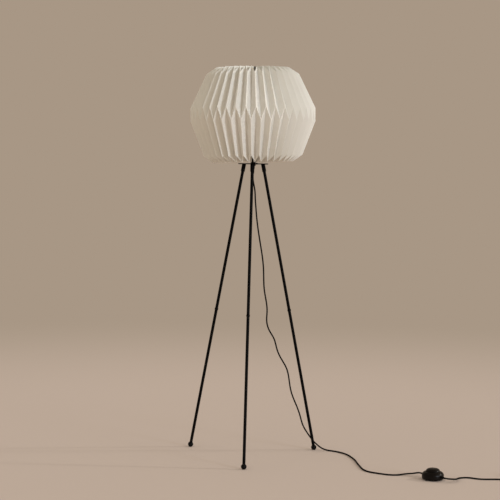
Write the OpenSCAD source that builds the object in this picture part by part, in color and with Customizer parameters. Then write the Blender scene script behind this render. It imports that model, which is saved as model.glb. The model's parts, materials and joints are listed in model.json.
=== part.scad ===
// Floor lamp: a folded paper shade on a wire carrier, over a round steel plate with three
// screw-in legs. The supply lead hangs from the plate, crosses the floor to a foot switch
// and ends in a round coil and a flat two-pin plug.
// Millimetres, +Z up. The origin is the middle of the lamp's footprint on the floor.

/* [Shade] */
// Radius of the shade at its widest folds
shade_r = 250; // [230:1:280]
// Number of folded sheets that the shade is glued from
sheets = 5; // [5:1:5]
// Number of pleats in each sheet
sheet_pleats = 8; // [7:1:9]
// Paper thickness, with its coating
paper_t = 0.3; // [0.25:0.05:0.5]
// Depth of a pleat at the widest folds
pleat_depth = 25; // [20:1:30]
// Height of the shade's lower tips above the plate
shade_lift = 5; // [4.5:0.5:8]
// Overall height of the shade from its lower tips to its upper ones
shade_h = 375; // [350:1:400]
// Height of the lower waist folds above the lower tips
waist_low = 162; // [140:1:170]
// Height of the upper waist folds above the lower tips
waist_high = 214; // [200:1:230]
// Height of the upper shoulder folds below the upper tips
shoulder_drop = 26; // [24:1:30]
// Radius of the upper shoulder folds
shoulder_r = 186; // [170:1:200]
// Radius of the upper tips
top_tip_r = 147; // [130:1:160]
// Height of the lower shoulder folds above the lower tips
shoulder_rise = 25; // [20:1:28]
// Radius of the lower shoulder folds
low_shoulder_r = 197; // [188:1:210]
// Radius of the lower tips
low_tip_r = 160; // [150:1:172]
// Radius of the hole left in the middle of each collar
collar_r = 42; // [41:0.5:43]
// Angle of the first pleat from +X
pleat_phase = 6.5; // [0:0.5:9]

/* [Plate] */
// Height of the plate's upper face above the floor
plate_top = 1177; // [1150:1:1200]
// Diameter of the plate
plate_d = 120; // [118:1:140]
// Thickness of the plate
plate_t = 4; // [3:0.5:6]
// Distance of the small lock screw from the lamp's axis
lock_screw_r = 15; // [14.5:0.5:18]

/* [Legs] */
// Number of legs
legs = 3; // [3:1:3]
// Radius of the circle through the middles of the ball feet
foot_ring_r = 295; // [280:1:310]
// Radius of the circle where the legs' axes meet the plate
leg_top_r = 44; // [40:1:46]
// Outer diameter of a leg tube
leg_d = 12; // [11:0.5:14]
// Wall of a leg tube
leg_wall = 1; // [0.8:0.1:1.5]
// Outer diameter of the sockets under the plate
socket_d = 16; // [15.5:0.5:18]
// Length of a socket along its leg
socket_len = 29; // [26:1:34]
// Height of the joint half way down the legs
joint_height = 582; // [500:1:650]
// Diameter of the collar at that joint
joint_d = 14.6; // [14:0.1:17]
// Length of the collar at that joint
joint_len = 8; // [6:0.5:12]
// Diameter of the ball feet
ball_d = 22; // [20:0.5:26]
// How far a ball foot is flattened where it stands
ball_flat = 0.5; // [0.3:0.1:1]

/* [Lamp holder and carrier] */
// Outer diameter of the threaded stem
stem_d = 10; // [9:0.5:11]
// Bore of the threaded stem
stem_bore = 7; // [6.8:0.1:7.4]
// Height of the lamp holder's foot above the plate
holder_lift = 38; // [36:1:48]
// Outer diameter of the holder's threaded shell
holder_d = 39.6; // [38:0.2:41]
// Bore of the holder's screw shell
lamp_thread_d = 26.4; // [26.4:0.1:27]
// Outer diameter of the shade ring nut
ring_nut_d = 57; // [52:1:60]
// Diameter of the carrier's steel wire
wire_d = 3.2; // [3:0.1:4]
// Radius of the wire cage that spreads the paper
cage_r = 46; // [45.5:0.5:48]
// Diameter of the knob on top of the carrier
knob_d = 33; // [28:1:36]
// Height of the knob
knob_h = 14; // [10:1:16]

/* [Bulb] */
// Diameter of the bulb's globe
bulb_d = 60; // [55:1:64]
// Overall length of the bulb
bulb_len = 107; // [100:1:115]
// Diameter of the bulb's screw cap
cap_d = 26.2; // [26:0.1:26.3]

/* [Lead] */
// Diameter of the textile lead
lead_d = 6; // [5.6:0.1:6.2]
// Radius of the coil's outer turn
coil_r = 42; // [41:0.5:43]
// Step between neighbouring turns and layers
coil_step = 6.6; // [6.55:0.05:7]
// Turns in the coil
coil_turns = 5.25; // [5.25:1:7.25]

/* [Foot switch] */
// Diameter of the switch's housing
switch_d = 83; // [82:1:88]
// Height of the lower tray, up to the parting line
tray_h = 16; // [15.5:0.5:18]
// Height of the whole switch with its button up
switch_h = 44; // [43:0.5:48]
// Wall of the housing
switch_wall = 2.4; // [2:0.1:3]
// Diameter of the press button
button_d = 55; // [50:1:55]
// How far the button travels
button_travel = 3; // [2:0.5:3.5]
// Gap round the button
button_gap = 0.5; // [0.4:0.1:0.8]

/* [Plug] */
// Diameter of a plug pin
pin_d = 4; // [4:0.1:4.1]
// Free length of a plug pin
pin_len = 19; // [18:0.5:20]
// Distance between the pins
pin_pitch = 18.6; // [17.5:0.1:19]
// Thickness of the plug's body
plug_t = 14; // [13:0.5:16]
// Length of the plug's body
plug_len = 36; // [34:1:40]

/* [Hidden] */

$fn = 96;
eps = 0.01;
// Slack of a part that sits in another
seat_gap = 0.1;
// Play of a nut on its thread
thread_gap = 0.04;
// Air between paper and wire
paper_gap = 0.2;

// The footprint runs from the front ball to the back of the shade.
axis_y = (foot_ring_r + ball_d / 2 - shade_r) / 2;
plate_under = plate_top - plate_t;

// Legs
ball_z = ball_d / 2 - ball_flat;
leg_tilt = atan((foot_ring_r - leg_top_r) / (plate_under - ball_z));
leg_len = (plate_under - ball_z) / cos(leg_tilt);
joint_s = (joint_height - ball_z) / cos(leg_tilt);
ball_seat = 1;
stud_d = 8;
insert_len = 14;
socket_roof = 6;
spigot_len = 18;

// Stem and nuts
nut_af = 17;
nut_h = 5;
washer_d = 22;
washer_t = 1.5;
stem_low = plate_under - washer_t - nut_h - 9;
stem_in_holder = 8;
grip_len = 30;
grip_d = 13.5;
grip_top = plate_under - washer_t - nut_h;
grip_low = grip_top - grip_len;

// Lamp holder, heights above the plate
foot_h = 22;
foot_wall = 2.5;
shell_z = holder_lift + foot_h;
shell_h = 36;
flange_h = 3;
web_z = shell_z + 4;
web_t = 2;
block_h = 12;
block_d = 34.6;
contact_z = web_z + web_t + 2.5;
clamp_z = shell_z + flange_h;
clamp_t = 2;
clamp_od = 50;
ring_nut_z = clamp_z + clamp_t;
ring_nut_h = 12;

// Bulb, heights above the plate
tip_z = contact_z + 0.3;
tip_h = 2.2;
cap_z = tip_z + tip_h;
cap_h = 26;
neck_h = 28;
globe_wall = 1.5;
bulb_top = tip_z + bulb_len;

// Pleated paper, heights above the plate; r and z of each fold line from the upper collar's
// hole, over the tips and the waist, to the lower collar's hole
pleats = sheets * sheet_pleats;
pitch = 180 / pleats;
seam_fold = 10;
shade_top = shade_lift + shade_h;
collar_top = shade_top + 3;
collar_valley_top = shade_top - shoulder_drop;
collar_valley_low = shade_lift + 29;
even_folds = [[collar_r, collar_valley_top], [shoulder_r, collar_valley_top],
    [shade_r, shade_lift + waist_high], [low_tip_r, shade_lift], [collar_r, shade_lift]];
odd_folds = [[collar_r, collar_top], [top_tip_r, shade_top], [shade_r, shade_lift + waist_low],
    [low_shoulder_r, shade_lift + shoulder_rise], [collar_r, collar_valley_low]];
pleat_w = norm([shade_r * sin(pitch), pleat_depth]);

// Carrier, heights above the plate
wire_r = wire_d / 2;
cage_low = collar_valley_low + skin(cage_r - wire_r) + paper_gap + wire_r;
cage_top = collar_valley_top - skin(cage_r - wire_r) - paper_gap - wire_r;
crown_r = 13;
crown_t = 2;
crown_z = shade_top - 11;
post_r = cage_r - 0.75 * wire_d;
spoke_r = wire_r - 0.2;
spoke_z = clamp_z + clamp_t - spoke_r - 0.1;
arm_foot_r = 30;
arm_r = spoke_r - 0.2;

// Lead: the route's points, chosen by hand in the lamp's own axes, x and y from the stem
lead_r = lead_d / 2;
hang_route = [[0, 0, 1118], [3, 1, 1096], [8, 4, 1068], [10, 5, 1035], [13, 6, 998],
    [17, 8, 955], [23, 11, 910], [31, 15, 860], [39, 19, 812], [45, 22, 762], [47, 23, 715],
    [50, 24, 668], [58, 28, 622], [62, 30, 582], [61, 30, 542], [71, 34, 505],
    [91, 44, 468], [103, 50, 426], [120, 58, 387], [142, 69, 346], [153, 75, 298],
    [162, 79, 249], [179, 87, 203], [197, 96, 155], [211, 102, 109], [230, 111, 75],
    [248, 119, 49], [270, 128, 25], [293, 130, 9]];
floor_route = [[320, 124, 3], [350, 104, 3], [379, 72, 3], [400, 30, 3], [413, -12, 3],
    [425, -60, 3], [436, -130, 3], [448, -200, 3], [463, -260, 3], [486, -295, 3],
    [520, -318, 3], [560, -337, 3], [592, -335, 3.5], [622, -327, 6.5], [648, -331, 10]];
after_switch = [[776, -442, 15], [790, -442, 14.5], [802, -431, 13], [808, -413, 10],
    [810, -392, 6.5], [816, -370, 4], [831, -352, 3], [853, -348, 3], [876, -364, 3],
    [900, -374, 3], [930, -369, 3], [970, -366, 3], [1005, -366, 3]];
tail_route = [[1093, -302, 10], [1094, -286, 8]];

// Foot switch, in its own axes; the lead runs along its x axis
switch_pos = [719, -390];
switch_turn = -45;
cord_z = 15;
pad_h = 1.2;
relief_len = 22;
relief_in = 8;
relief_d = 9;
relief_tip_d = 7.2;
button_low = cord_z + lead_r + button_travel + 1;
shoulder_z = button_low + 9;
lip_r = button_d / 2 + button_gap;
block_top = cord_z + lead_r + 1.5;
block_half = 10;
spring_r = 6;
spring_wire = 1;
spring_turns = 5;
screw_ring_r = button_d / 2 + 5.7;
head_z = pad_h + 1;
saddle_x = 14;
saddle_w = 6;
stop_rim = 1.6;
stop_rim_h = 1.5;

// Coil: centre on the floor, lowest turn held up by the tie
tie_t = 1;
tie_w = 12;
coil_pos = [1050, -324];
coil_z = tie_t + 0.2 + lead_r;
loop_rings = 24;
run_out = lead_d;

// Plug
plug_pos = [1094, -270];
plug_z = plug_t / 2;
plug_w = 26;
boot_len = 22;
pin_root = 10;
pin_root_d = pin_d - 0.8;

// ---------------------------------------------------------------- helpers
// Everything is drawn round the lamp's own axis and then set over the footprint.
module on_axis() { translate([0, axis_y, 0]) children(); }
module on_plate(z) { translate([0, axis_y, plate_top + z]) children(); }
module at_switch() {
    translate([switch_pos[0], switch_pos[1] + axis_y, 0]) rotate(switch_turn) children();
}
// Local +Z runs up the leg from the middle of its ball foot.
module on_leg(k) {
    on_axis() rotate(-90 + (k - 1) * 360 / legs) translate([foot_ring_r, 0, ball_z])
        rotate([0, -leg_tilt, 0]) children();
}
module tube(r_out, r_in, z0, z1) {
    translate([0, 0, z0]) difference() {
        cylinder(r = r_out, h = z1 - z0);
        translate([0, 0, -1]) cylinder(r = r_in, h = z1 - z0 + 2);
    }
}
module hex_nut(af, h, bore) {
    difference() {
        cylinder(d = af / cos(30), h = h, $fn = 6);
        translate([0, 0, -1]) cylinder(d = bore, h = h + 2);
    }
}
module torus(r, wire, z) {
    translate([0, 0, z]) rotate_extrude() translate([r, 0]) circle(r = wire, $fn = 32);
}
// A round rod from point a to point b
module rod(a, b, r) {
    v = b - a;
    translate(a) rotate([0, acos(v[2] / norm(v)), atan2(v[1], v[0])])
        cylinder(r = r, h = norm(v), $fn = 32);
}

// Vector of length one
function unit(v) = v / norm(v);
// Depth that paper_t takes across a fold at radius r
function skin(r) = paper_t * pleat_w / (r * sin(pitch));
// Route with one more point half way along each curved stretch, no lower than it may lie
function lifted(q, low) = [q[0], q[1], max(q[2], low)];
function smooth(p) = [for (i = [0 : len(p) - 2]) each (
    i == 0 || i == len(p) - 2 ? [p[i]] :
        [p[i], lifted((9 * (p[i] + p[i + 1]) - p[i - 1] - p[i + 2]) / 16, lead_r)]), p[len(p) - 1]];
function headings(p) = [for (i = [0 : len(p) - 1])
    unit(p[min(i + 1, len(p) - 1)] - p[max(i - 1, 0)])];
// A side direction carried along the route without twisting
function sides(t, s) = [for (i = 0, n = unit(s - (s * t[0]) * t[0]); i < len(t);
    i = i + 1, n = i < len(t) ? unit(n - (n * t[i]) * t[i]) : n) n];
// One closed tube swept along the points p, with n flats
module sweep(p, r, n, side) {
    t = headings(p);
    s = sides(t, side);
    m = len(p);
    points = [for (i = [0 : m - 1]) for (k = [0 : n - 1])
        p[i] + r * (cos(360 * k / n) * s[i] + sin(360 * k / n) * cross(t[i], s[i]))];
    skin_faces = [for (i = [0 : m - 2]) for (k = [0 : n - 1])
        let (a = i * n + k, b = i * n + (k + 1) % n) each [[a, a + n, b], [b, a + n, b + n]]];
    ends = [for (k = [1 : n - 2]) each [[0, k, k + 1],
        [(m - 1) * n, (m - 1) * n + k + 1, (m - 1) * n + k]]];
    polyhedron(points, concat(skin_faces, ends));
}

// ---------------------------------------------------------------- plate and legs
module base_plate() {
    color("#191816") on_axis() difference() {
        translate([0, 0, plate_under]) rotate_extrude() polygon([[0, 0], [plate_d / 2 - 0.6, 0],
            [plate_d / 2, 0.6], [plate_d / 2, plate_t - 0.6], [plate_d / 2 - 0.6, plate_t], [0, plate_t]]);
        translate([0, 0, plate_under - 1]) cylinder(d = stem_d + 2 * seat_gap, h = plate_t + 2);
        translate([lock_screw_r, 0, plate_under - 1]) cylinder(d = 4.2, h = plate_t + 2);
    }
}
// A turned socket with the leg's stud inside, cut off flush under the plate
module leg_socket(k) {
    color("#191816") intersection() {
        on_leg(k) {
            difference() {
                translate([0, 0, leg_len - socket_len]) cylinder(d = socket_d, h = socket_len + 8);
                translate([0, 0, leg_len - socket_len - 1])
                    cylinder(d = leg_d + 2 * seat_gap, h = socket_len - socket_roof + 1);
                translate([0, 0, leg_len - socket_len - eps])
                    cylinder(d1 = leg_d + 1.6, d2 = leg_d + 2 * seat_gap, h = 0.8);
            }
            translate([0, 0, leg_len - socket_roof - insert_len]) cylinder(d = stud_d, h = insert_len + 1);
        }
        on_axis() translate([0, 0, plate_under - 60]) cylinder(r = plate_d, h = 60);
    }
}
// Threaded inserts pressed into the tops of the upper leg tubes
module leg_inserts() {
    color("#b9b4a8") for (k = [1 : legs]) on_leg(k)
        tube(leg_d / 2 - leg_wall, stud_d / 2 + seat_gap,
            leg_len - socket_roof - insert_len - 0.5, leg_len - socket_roof - 0.5);
}
module upper_leg(k) {
    color("#191816") on_leg(k) tube(leg_d / 2, leg_d / 2 - leg_wall,
        joint_s + joint_len / 2, leg_len - socket_roof - 0.5);
}
// Collar with a spigot into each tube
module leg_joint(k) {
    spigot_r = leg_d / 2 - leg_wall - seat_gap;
    half = joint_len / 2;
    r = joint_d / 2;
    color("#191816") on_leg(k) translate([0, 0, joint_s]) rotate_extrude() polygon([
        [0, -half - spigot_len], [spigot_r - 1, -half - spigot_len], [spigot_r, 1 - half - spigot_len],
        [spigot_r, -half], [r - 0.8, -half], [r, 0.8 - half], [r, half - 0.8], [r - 0.8, half],
        [spigot_r, half], [spigot_r, half + spigot_len - 1], [spigot_r - 1, half + spigot_len],
        [0, half + spigot_len]]);
}
module lower_leg(k) {
    color("#191816") on_leg(k) tube(leg_d / 2, leg_d / 2 - leg_wall, ball_seat, joint_s - joint_len / 2);
}
// A ball with a flat to stand on and a blind hole for the tube
module ball_foot(k) {
    color("#121110") intersection() {
        on_leg(k) difference() {
            sphere(d = ball_d);
            translate([0, 0, ball_seat - seat_gap]) cylinder(d = leg_d + 2 * seat_gap, h = ball_d);
        }
        on_axis() cylinder(r = foot_ring_r + ball_d, h = 3 * ball_d);
    }
}

// ---------------------------------------------------------------- stem
module stem_tube() {
    color("#191816") on_axis()
        tube(stem_d / 2, stem_bore / 2, stem_low, plate_top + holder_lift + stem_in_holder);
}
module stem_nuts() {
    color("#191816") {
        on_plate(washer_t) hex_nut(nut_af, nut_h, stem_d + 2 * thread_gap);
        on_axis() translate([0, 0, grip_top]) hex_nut(nut_af, nut_h, stem_d + 2 * thread_gap);
    }
}
module stem_washers() {
    color("#191816") {
        on_plate(0) tube(washer_d / 2, stem_d / 2 + seat_gap, 0, washer_t);
        on_axis() tube(washer_d / 2, stem_d / 2 + seat_gap, plate_under - washer_t, plate_under);
    }
}
module lock_screw() {
    color("#191816") on_axis() translate([lock_screw_r, 0, 0]) {
        translate([0, 0, plate_under - 0.8]) cylinder(d = 4, h = plate_t + 0.8 + eps);
        translate([0, 0, plate_top]) difference() {
            rotate_extrude() polygon([[0, 0], [3.1, 0], [3.1, 1.2], [2.4, 2.4], [0, 2.8]]);
            translate([-4, -0.4, 1.6]) cube([8, 0.8, 3]);
        }
    }
}
// Screwed grip with flats and a tapered tail round the lead
module cord_grip() {
    color("#141312") on_axis() translate([0, 0, grip_low]) difference() {
        rotate_extrude() polygon([[0, 0], [lead_d / 2 + 1.1, 0], [lead_d / 2 + 1.6, 1],
            [grip_d / 2 - 1.2, 19], [grip_d / 2, 20], [grip_d / 2, grip_len], [0, grip_len]]);
        translate([0, 0, -1]) cylinder(d = lead_d + 2 * seat_gap, h = grip_len + 2);
        translate([0, 0, grip_len - 9]) cylinder(d = stem_d + 2 * thread_gap, h = 10);
        for (a = [0 : 60 : 300]) rotate(a) translate([grip_d / 2 - 0.5, -4, 21]) cube([2, 8, 6]);
    }
}
// The lead's run inside the grip and the stem
module cord_in_stem() {
    color("#1b1a19") on_axis() translate([0, 0, grip_low])
        cylinder(d = lead_d, h = plate_top + holder_lift + stem_in_holder + 2 - grip_low);
}

// ---------------------------------------------------------------- lamp holder
module holder_foot() {
    r = holder_d / 2 + 1.4;
    color("#141312") on_plate(holder_lift) difference() {
        rotate_extrude() polygon([[0, 0], [9, 0], [10.5, 1.5], [r - 3, 9], [r - 0.8, 12], [r, 15],
            [r, foot_h], [0, foot_h]]);
        translate([0, 0, -1]) cylinder(d = stem_d + 2 * seat_gap, h = foot_h);
        rotate_extrude() polygon([[0, 5.5], [10, 5.5], [r - foot_wall - 2.5, 12], [r - foot_wall - 1, 14],
            [r - foot_wall - 1, foot_h + 1], [0, foot_h + 1]]);
    }
}
module holder_shell() {
    web = web_z - shell_z;
    color("#141312") on_plate(shell_z) difference() {
        union() {
            cylinder(d = holder_d + 2.8, h = flange_h);
            cylinder(d = holder_d, h = shell_h);
        }
        translate([0, 0, web + web_t]) cylinder(d = lamp_thread_d, h = shell_h);
        translate([0, 0, -1]) cylinder(d = 12, h = shell_h);
        translate([0, 0, -1]) cylinder(d = block_d + 2 * seat_gap, h = web + 1);
        translate([0, 0, shell_h - 1]) cylinder(d1 = lamp_thread_d, d2 = lamp_thread_d + 2.4, h = 1 + eps);
    }
}
// Ceramic block with the two terminal wells and the wire way
module contact_block() {
    color("#d9d4c8") on_plate(web_z - block_h) difference() {
        cylinder(d = block_d, h = block_h);
        translate([0, 0, -1]) cylinder(d = 7, h = 4);
        for (a = [0, 180]) rotate(a) translate([11, 0, -1]) cylinder(d = 6, h = 8);
    }
}
module centre_contact() {
    color("#c9a24a") on_plate(web_z) rotate_extrude()
        polygon([[0, 0], [4.5, 0], [4.5, 0.6], [3.2, 1.2], [3.2, contact_z - web_z - 0.8],
            [1.6, contact_z - web_z], [0, contact_z - web_z]]);
}
module ring_nut() {
    grips = 24;
    color("#141312") on_plate(ring_nut_z) difference() {
        rotate_extrude() polygon([[holder_d / 2 + seat_gap, 0], [ring_nut_d / 2 - 3, 0],
            [ring_nut_d / 2, 3], [ring_nut_d / 2, ring_nut_h - 2], [ring_nut_d / 2 - 2, ring_nut_h],
            [holder_d / 2 + seat_gap, ring_nut_h]]);
        for (k = [1 : grips]) rotate(k * 360 / grips)
            translate([ring_nut_d / 2 + 1, 0, -1]) cylinder(r = 2, h = ring_nut_h + 2, $fn = 24);
    }
}

// ---------------------------------------------------------------- carrier
// Welded wire cage: two rings spread the paper, a flat ring sits on the lamp holder and
// slanting arms carry the crown.
module shade_carrier() {
    color("#191816") on_plate(0) {
        tube(clamp_od / 2, holder_d / 2 + 2 * seat_gap, clamp_z, clamp_z + clamp_t);
        torus(cage_r, wire_r, cage_low);
        torus(cage_r, wire_r, cage_top);
        for (a = [90, 210, 330]) rotate(a) {
            rod([post_r, 0, cage_low - wire_r / 2], [post_r, 0, cage_top + wire_r], wire_r);
            rod([clamp_od / 2 - 2, 0, spoke_z], [post_r + 0.6, 0, spoke_z], spoke_r);
            rod([arm_foot_r - spoke_r, 0, cage_top], [post_r + 0.6, 0, cage_top], spoke_r);
            rod([arm_foot_r, 0, cage_top], [crown_r - 2, 0, crown_z + crown_t / 2], arm_r);
        }
        translate([0, 0, crown_z]) cylinder(r = crown_r, h = crown_t);
    }
}
module carrier_knob() {
    r = knob_d / 2;
    color("#141312") on_plate(crown_z + crown_t) rotate_extrude() polygon([[0, 0], [r - 1.5, 0], [r, 1.5],
        [r, knob_h - 5], [r - 1.2, knob_h - 2.4], [r - 4, knob_h - 0.8], [r - 8, knob_h], [0, knob_h]]);
}

// ---------------------------------------------------------------- paper shade
// Fold line set in by the paper's depth, along the mitre of its two stretches
function inward(p, i) =
    let (a = i > 0 ? unit(p[i] - p[i - 1]) : unit(p[1] - p[0]),
         b = i < len(p) - 1 ? unit(p[i + 1] - p[i]) : a,
         na = [a[1], -a[0]], nb = [b[1], -b[0]])
    p[i] + skin(p[i][0]) * (na + nb) / (1 + na * nb);
function around(p, a) = [p[0] * cos(a), p[0] * sin(a), p[1]];
// The k-th sheet, from one seam to the next; a seam runs along a fold line, where the sheets meet
module paper_shade(k) {
    rows = len(even_folds);
    facets = 2 * sheet_pleats;
    first = seam_fold + (k - 1) * facets;
    lines = [for (j = [first : first + facets]) j % 2 == 0 ? even_folds : odd_folds];
    outside = [for (j = [0 : facets]) for (i = [0 : rows - 1])
        around(lines[j][i], pleat_phase + (first + j) * pitch)];
    inside = [for (j = [0 : facets]) for (i = [0 : rows - 1])
        around(inward(lines[j], i), pleat_phase + (first + j) * pitch)];
    shift = len(outside);
    last = facets * rows;
    folded = [for (j = [0 : facets - 1])
        let (a = j * rows, b = a + rows, e = rows - 1)
        each concat(
            [for (i = [0 : rows - 2]) each [[a + i, b + i, b + i + 1], [a + i, b + i + 1, a + i + 1]]],
            [for (i = [0 : rows - 2]) each [[b + i + shift, a + i + shift, b + i + 1 + shift],
                [a + i + shift, a + i + 1 + shift, b + i + 1 + shift]]],
            [[b, a, a + shift], [b, a + shift, b + shift],
             [a + e, b + e, b + e + shift], [a + e, b + e + shift, a + e + shift]])];
    seams = [for (i = [0 : rows - 2]) let (n = last + i)
        each [[i, i + 1, i + 1 + shift], [i, i + 1 + shift, i + shift],
            [n + 1, n, n + shift], [n + 1, n + shift, n + 1 + shift]]];
    color("#f3efe6") on_plate(0) polyhedron(concat(outside, inside), concat(folded, seams));
}

// ---------------------------------------------------------------- bulb
module bulb_tip() {
    color("#c9a24a") on_plate(tip_z) rotate_extrude()
        polygon([[0, 0], [3, 0], [4.5, 0.8], [4.5, tip_h], [0, tip_h]]);
}
module bulb_cap() {
    wall = 0.9;
    color("#b8b6b0") on_plate(cap_z) rotate_extrude() polygon([[0, 0], [5.5, 0], [10.5, 4],
        [cap_d / 2 - 0.8, 5], [cap_d / 2, 6.5], [cap_d / 2, cap_h], [cap_d / 2 - wall, cap_h],
        [cap_d / 2 - wall, 7], [10, 5.4], [5, 1.4], [0, 1.4]]);
}
module bulb_neck() {
    color("#ece9e2") on_plate(cap_z + cap_h) rotate_extrude() polygon([[0, 0], [cap_d / 2 + 0.8, 0],
        [cap_d / 2 + 1.4, 2], [cap_d / 2 + 5, 17], [bulb_d / 2 - 8, neck_h], [0, neck_h]]);
}
module bulb_globe() {
    r = bulb_d / 2;
    z0 = cap_z + cap_h + neck_h;
    mid = bulb_top - r;
    color("#f6f3ea") difference() {
        intersection() {
            on_plate(mid) sphere(r = r);
            on_plate(z0) cylinder(r = r + 1, h = bulb_len);
        }
        on_plate(mid) sphere(r = r - globe_wall);
    }
}

// ---------------------------------------------------------------- lead
relief_end = relief_len - relief_in;
// Points and headings where the lead meets the reliefs of the switch
switch_dir = [cos(switch_turn), sin(switch_turn), 0];
switch_mid = [switch_pos[0], switch_pos[1], cord_z];
into_switch = switch_mid - (switch_d / 2 + relief_end) * switch_dir;
out_of_switch = switch_mid + (switch_d / 2 + relief_end) * switch_dir;

module lamp_lead() {
    ends = [into_switch - 12 * switch_dir, into_switch];
    top = [[0, 0, grip_low], [0, 0, grip_low - lead_d]];
    color("#1b1a19") on_axis()
        sweep(smooth(concat(top, hang_route, floor_route, ends)), lead_r, 8, [1, 0, 0]);
}
// The coil's heading and place after u turns: in along the lower layer, out along the upper
function reversal(x) = sqrt(x * x + 0.01);
function coil_point(u) =
    let (h = coil_turns / 2, r = coil_r - coil_step * (reversal(h) - reversal(u - h)),
         k = min(max(u - h + 0.25, 0), 0.5) * 2, a = -90 + 360 * u)
    [coil_pos[0] + r * cos(a), coil_pos[1] + r * sin(a),
     coil_z + coil_step * (1 - cos(180 * k)) / 2];
function coil_heading(u) = unit(coil_point(u + 0.001) - coil_point(u - 0.001));
coil_in = coil_point(0) - run_out * coil_heading(0);
coil_out = coil_point(coil_turns) + run_out * coil_heading(coil_turns);
coil_path = concat([coil_in], [for (i = [0 : coil_turns * loop_rings])
    coil_point(i / loop_rings)], [coil_out]);
// Least distance between stretches of the coil half a turn or more apart, less its diameter
coil_gap = min([for (i = [0 : len(coil_path) - 1]) for (j = [i + loop_rings / 2 : len(coil_path) - 1])
    norm(coil_path[i] - coil_path[j])]) - lead_d;

module mains_lead() {
    color("#1b1a19") on_axis() sweep(smooth(concat([out_of_switch, out_of_switch + 10 * switch_dir],
        after_switch, [coil_in - 12 * coil_heading(0), coil_in])), lead_r, 8, [0, 0, 1]);
}
module lead_coil() {
    echo(least_gap_in_coil = coil_gap);
    color("#1b1a19") on_axis() sweep(coil_path, lead_r, 6, [0, 0, 1]);
}
module lead_tail() {
    boot = [plug_pos[0], plug_pos[1], plug_z];
    color("#1b1a19") on_axis() sweep(smooth(concat([coil_out, coil_out + 5 * coil_heading(coil_turns)],
        tail_route, [boot - [0, 6, 0], boot])), lead_r, 8, [0, 0, 1]);
}
// Flat strap closed round all the turns on the coil's far side
module coil_tie() {
    gap = 0.3;
    r0 = coil_r - coil_step * (coil_turns / 2) - lead_r - gap;
    r1 = coil_r + lead_r + gap;
    high = coil_z + coil_step + lead_r + gap;
    color("#2a2825") on_axis() translate([coil_pos[0], coil_pos[1], 0]) rotate(100)
        translate([0, -tie_w / 2, 0]) difference() {
            translate([r0 - tie_t, 0, 0]) cube([r1 - r0 + 2 * tie_t, tie_w, high + tie_t]);
            translate([r0, -1, tie_t]) cube([r1 - r0, tie_w + 2, high - tie_t]);
        }
}

// ---------------------------------------------------------------- foot switch
module cord_way(d) {
    rotate([0, 90, 0]) translate([-cord_z, 0, -switch_d]) cylinder(d = d, h = 2 * switch_d);
}
module switch_tray() {
    r = switch_d / 2;
    w = switch_wall;
    color("#171210") at_switch() difference() {
        union() {
            difference() {
                rotate_extrude() polygon([[0, pad_h], [r - 9, pad_h], [r - 5, pad_h + 0.8],
                    [r - 2, pad_h + 3], [r - 0.4, pad_h + 7], [r, tray_h], [0, tray_h]]);
                rotate_extrude() polygon([[0, pad_h + w], [r - 9, pad_h + w], [r - 5, pad_h + w + 1.5],
                    [r - w - 0.6, pad_h + 8], [r - w, tray_h + 1], [0, tray_h + 1]]);
            }
            for (a = [45 : 90 : 315]) rotate(a) translate([screw_ring_r, 0, pad_h + 1.5])
                cylinder(d = 6.5, h = tray_h - pad_h - 1.5);
            for (s = [-1, 1]) translate([s * saddle_x - saddle_w / 2, -8, pad_h + 1])
                cube([saddle_w, 16, cord_z - lead_r - pad_h - 1]);
        }
        for (a = [45 : 90 : 315]) rotate(a) translate([screw_ring_r, 0, 0]) {
            cylinder(d = 3.2, h = tray_h + 1);
            cylinder(d = 6, h = head_z + 1.8);
        }
        cord_way(relief_d);
    }
}
module switch_cover() {
    r = switch_d / 2;
    w = switch_wall;
    color("#171210") at_switch() difference() {
        union() {
            rotate_extrude() polygon([[r - w, tray_h], [r, tray_h], [r, tray_h + 3],
                [r - 1, tray_h + 6.5], [r - 3, shoulder_z - 5], [r - 5.6, shoulder_z - 2.3],
                [r - 8.4, shoulder_z - 0.5], [lip_r + 2.4, shoulder_z], [lip_r + 0.8, shoulder_z],
                [lip_r, shoulder_z - 0.8], [lip_r, shoulder_z - 7], [lip_r + w - 0.6, shoulder_z - 7],
                [lip_r + w, shoulder_z - 3.2], [r - 8.4 - w / 4, shoulder_z - 3.2],
                [r - w - 4.6, shoulder_z - 5], [r - w - 2.4, shoulder_z - 7.4],
                [r - w - 0.8, tray_h + 5]]);
            for (a = [45 : 90 : 315]) rotate(a) translate([screw_ring_r, 0, tray_h])
                cylinder(d = 6.5, h = shoulder_z - 4 - tray_h);
        }
        for (a = [45 : 90 : 315]) rotate(a) translate([screw_ring_r, 0, tray_h - 1])
            cylinder(d = 2.6, h = 7);
        cord_way(relief_d);
    }
}
// A domed cap with a skirt, a stop rim under the cover's lip and a post for the spring
module press_button() {
    r = button_d / 2;
    color("#1c1512") at_switch() {
        difference() {
            rotate_extrude() polygon([[0, button_low], [r + stop_rim, button_low],
                [r + stop_rim, button_low + stop_rim_h], [r, button_low + stop_rim_h],
                [r, shoulder_z + 1.5], [r - 1, shoulder_z + 3.4], [r - 3.2, switch_h - 5.6],
                [r - 6.5, switch_h - 3], [r - 11, switch_h - 1.2], [r - 17, switch_h - 0.3], [0, switch_h]]);
            rotate_extrude() polygon([[0, button_low - 1], [r - 2, button_low - 1], [r - 2, shoulder_z + 1],
                [r - 5.4, switch_h - 7.4], [r - 16, switch_h - 3.2], [0, switch_h - 2.6]]);
        }
        tube(spring_r - spring_wire, spring_r - spring_wire - 1.5, button_low + 4, switch_h - 2.7);
    }
}
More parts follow.
